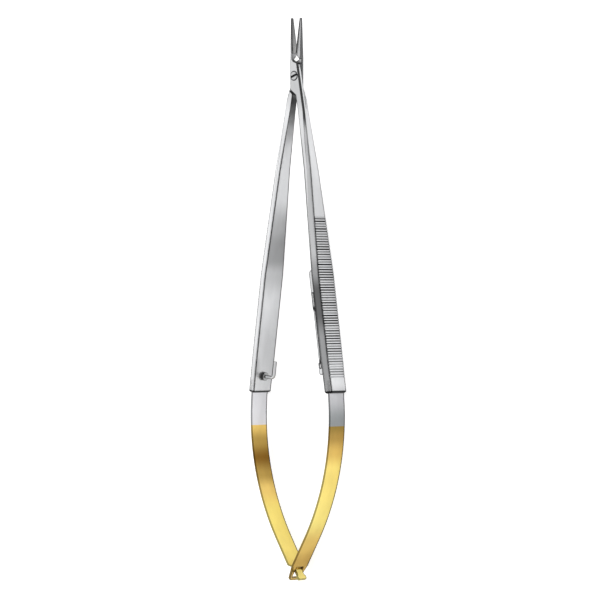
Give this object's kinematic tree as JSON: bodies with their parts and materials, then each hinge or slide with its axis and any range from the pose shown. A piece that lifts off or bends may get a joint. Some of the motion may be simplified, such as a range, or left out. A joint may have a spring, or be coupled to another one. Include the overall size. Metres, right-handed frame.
{
  "type": "surgical needle holder",
  "caption": "Spring-handled micro needle holder with slender inserted jaws, a box joint, grooved bevelled handles, gold-toned interlocking leaf springs and a hook lock.",
  "frame": {"origin": "middle of the footprint, on the surface the instrument lies on", "axes": "+X along the opening direction, +Y from the spring tail to the jaw tips, +Z along the pivot axis, up from the surface"},
  "size_m": [0.0354, 0.185, 0.0091],
  "materials": {
    "steel": "satin",
    "gilt_spring": "satin",
    "insert": "satin"
  },
  "bodies": {
    "left_side": {"left_arm": "steel", "pivot_screw": "steel", "right_jaw_insert": "insert", "catch_hook": "steel"},
    "right_side": {"right_arm": "steel", "left_jaw_insert": "insert", "catch_base": "steel", "catch_rivets": "steel"},
    "left_leaf": {"left_leaf_spring": "gilt_spring"},
    "right_leaf": {"right_leaf_spring": "gilt_spring"},
    "catch_leaf": {"catch_spring": "steel", "catch_head": "steel"}
  },
  "joints": [
    {"name": "jaw_pivot", "type": "hinge", "parent": "left_side", "child": "right_side", "pos_m": [0, 0.07342, 0.00455], "axis": [0, 0, -1], "range_deg": [0, 10.1], "stiffness_Nm_per_rad": 0.5},
    {"name": "left_leaf_flex", "type": "hinge", "parent": "left_side", "child": "left_leaf", "pos_m": [-0.0163, -0.03084, 0.00455], "axis": [0, 0, -1], "range_deg": [0, 14.2], "deforming": ["left_leaf_spring"]},
    {"name": "right_leaf_flex", "type": "hinge", "parent": "right_side", "child": "right_leaf", "pos_m": [0.0163, -0.03084, 0.00455], "axis": [0, 0, 1], "range_deg": [0, 14.2], "deforming": ["right_leaf_spring"]},
    {"name": "catch_flex", "type": "hinge", "parent": "right_side", "child": "catch_leaf", "pos_m": [0.00944, -0.00342, 0.00455], "axis": [0, 0, 1], "range_deg": [0, 2.5], "stiffness_Nm_per_rad": 0.5, "deforming": ["catch_spring"]}
  ],
  "couplings": [
    {"joint": "left_leaf_flex", "follows": "jaw_pivot", "ratio": 1.385},
    {"joint": "right_leaf_flex", "follows": "jaw_pivot", "ratio": 1.385}
  ]
}
